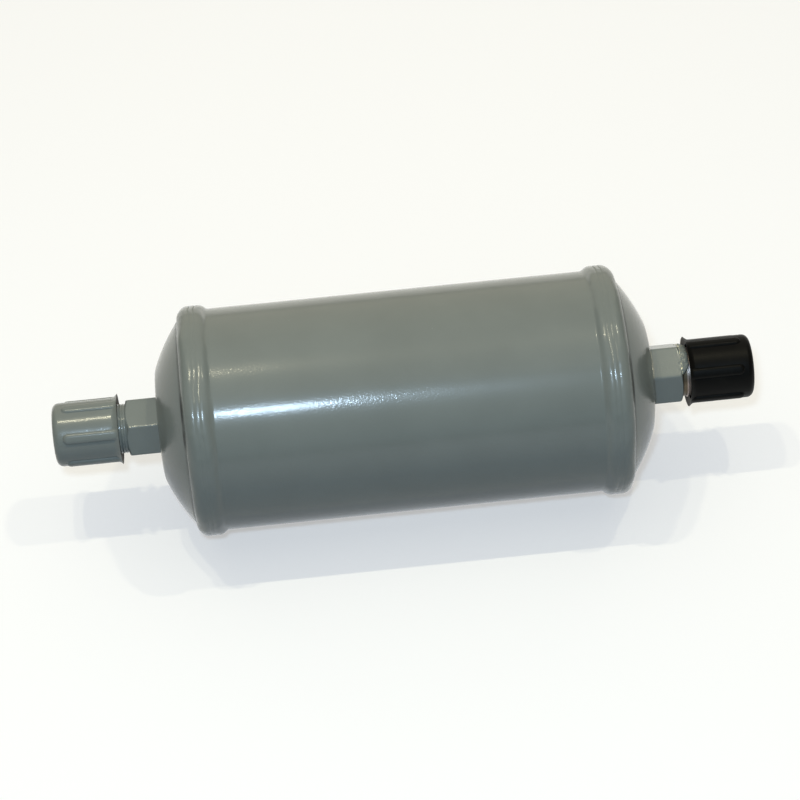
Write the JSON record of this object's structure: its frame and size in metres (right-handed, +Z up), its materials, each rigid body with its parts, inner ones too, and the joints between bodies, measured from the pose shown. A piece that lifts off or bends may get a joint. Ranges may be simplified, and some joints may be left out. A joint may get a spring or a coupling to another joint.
{
  "type": "hermetic filter drier",
  "caption": "Welded steel cylinder with domed ends and a hexagonal flare fitting at each end, closed by ribbed push-on caps; dries and filters liquid refrigerant.",
  "frame": {"origin": "centre of the vessel, on its axis, midway between the two heads' flat faces", "axes": "+X along the vessel's axis, in the direction of flow from inlet to outlet; +Z up, as the drier lies on its side"},
  "size_m": [0.2407, 0.0794, 0.0794],
  "materials": {
    "grey_enamel": "gloss",
    "painted_fitting": "gloss",
    "painted_cap": "gloss",
    "black_cap": "satin",
    "braze": "satin",
    "spring_steel": "satin",
    "pressed_steel": "satin",
    "felt": "matte",
    "gasket": "matte",
    "desiccant": "matte"
  },
  "bodies": {
    "vessel": {"shell_tube": "grey_enamel", "inlet_head": "grey_enamel", "outlet_head": "grey_enamel", "inlet_girth_weld": "grey_enamel", "outlet_girth_weld": "grey_enamel", "inlet_fitting": "painted_fitting", "outlet_fitting": "painted_fitting", "inlet_braze_ring": "braze", "outlet_braze_ring": "braze", "core_spring": "spring_steel", "spring_plate": "pressed_steel", "inlet_deflector": "pressed_steel", "perforated_plate": "pressed_steel", "mesh_screen": "pressed_steel", "felt_pad": "felt", "filter_mat": "felt", "core_seal_ring": "gasket", "desiccant_core": "desiccant"},
    "inlet_cap": {"inlet_thread_cap": "painted_cap"},
    "outlet_cap": {"outlet_thread_cap": "black_cap"}
  },
  "joints": [
    {"name": "inlet_cap_slide", "type": "slide", "parent": "vessel", "child": "inlet_cap", "axis": [-1, 0, 0], "range_m": [0, 0.045]},
    {"name": "outlet_cap_slide", "type": "slide", "parent": "vessel", "child": "outlet_cap", "axis": [1, 0, 0], "range_m": [0, 0.045]}
  ]
}
